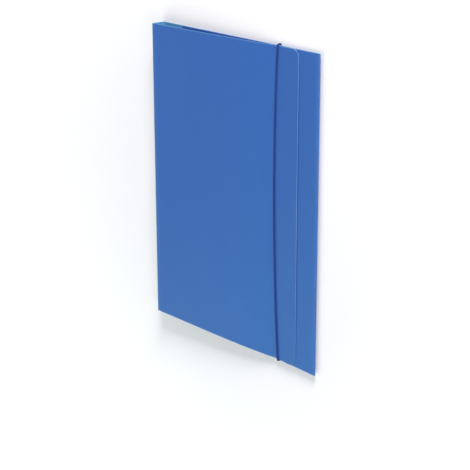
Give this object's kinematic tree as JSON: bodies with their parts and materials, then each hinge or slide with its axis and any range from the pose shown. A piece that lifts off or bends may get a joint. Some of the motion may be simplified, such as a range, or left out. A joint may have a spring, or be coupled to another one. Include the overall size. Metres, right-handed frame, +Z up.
{
  "type": "three-flap elastic folder",
  "caption": "Closed card document folder for loose sheets: wedge-shaped, with inner flaps at head, tail and fore edge, held shut by one round elastic near the fore edge.",
  "frame": {"origin": "middle of the footprint, on the surface that the closed folder lies on", "axes": "+X from the spine to the fore edge, +Y from the tail edge to the head edge, +Z up, out of the front cover"},
  "size_m": [0.2402, 0.3246, 0.016],
  "materials": {
    "card": "blue card with a smooth satin laminate outside and a paler greenish blue inside, light at its cut edges",
    "elastic": "fine navy braid over a rubber core",
    "steel": "pressed bright steel"
  },
  "bodies": {
    "root": {"folded_card": "card", "elastic_cord": "elastic", "head_end_bar": "steel", "tail_end_bar": "steel"}
  },
  "joints": []
}
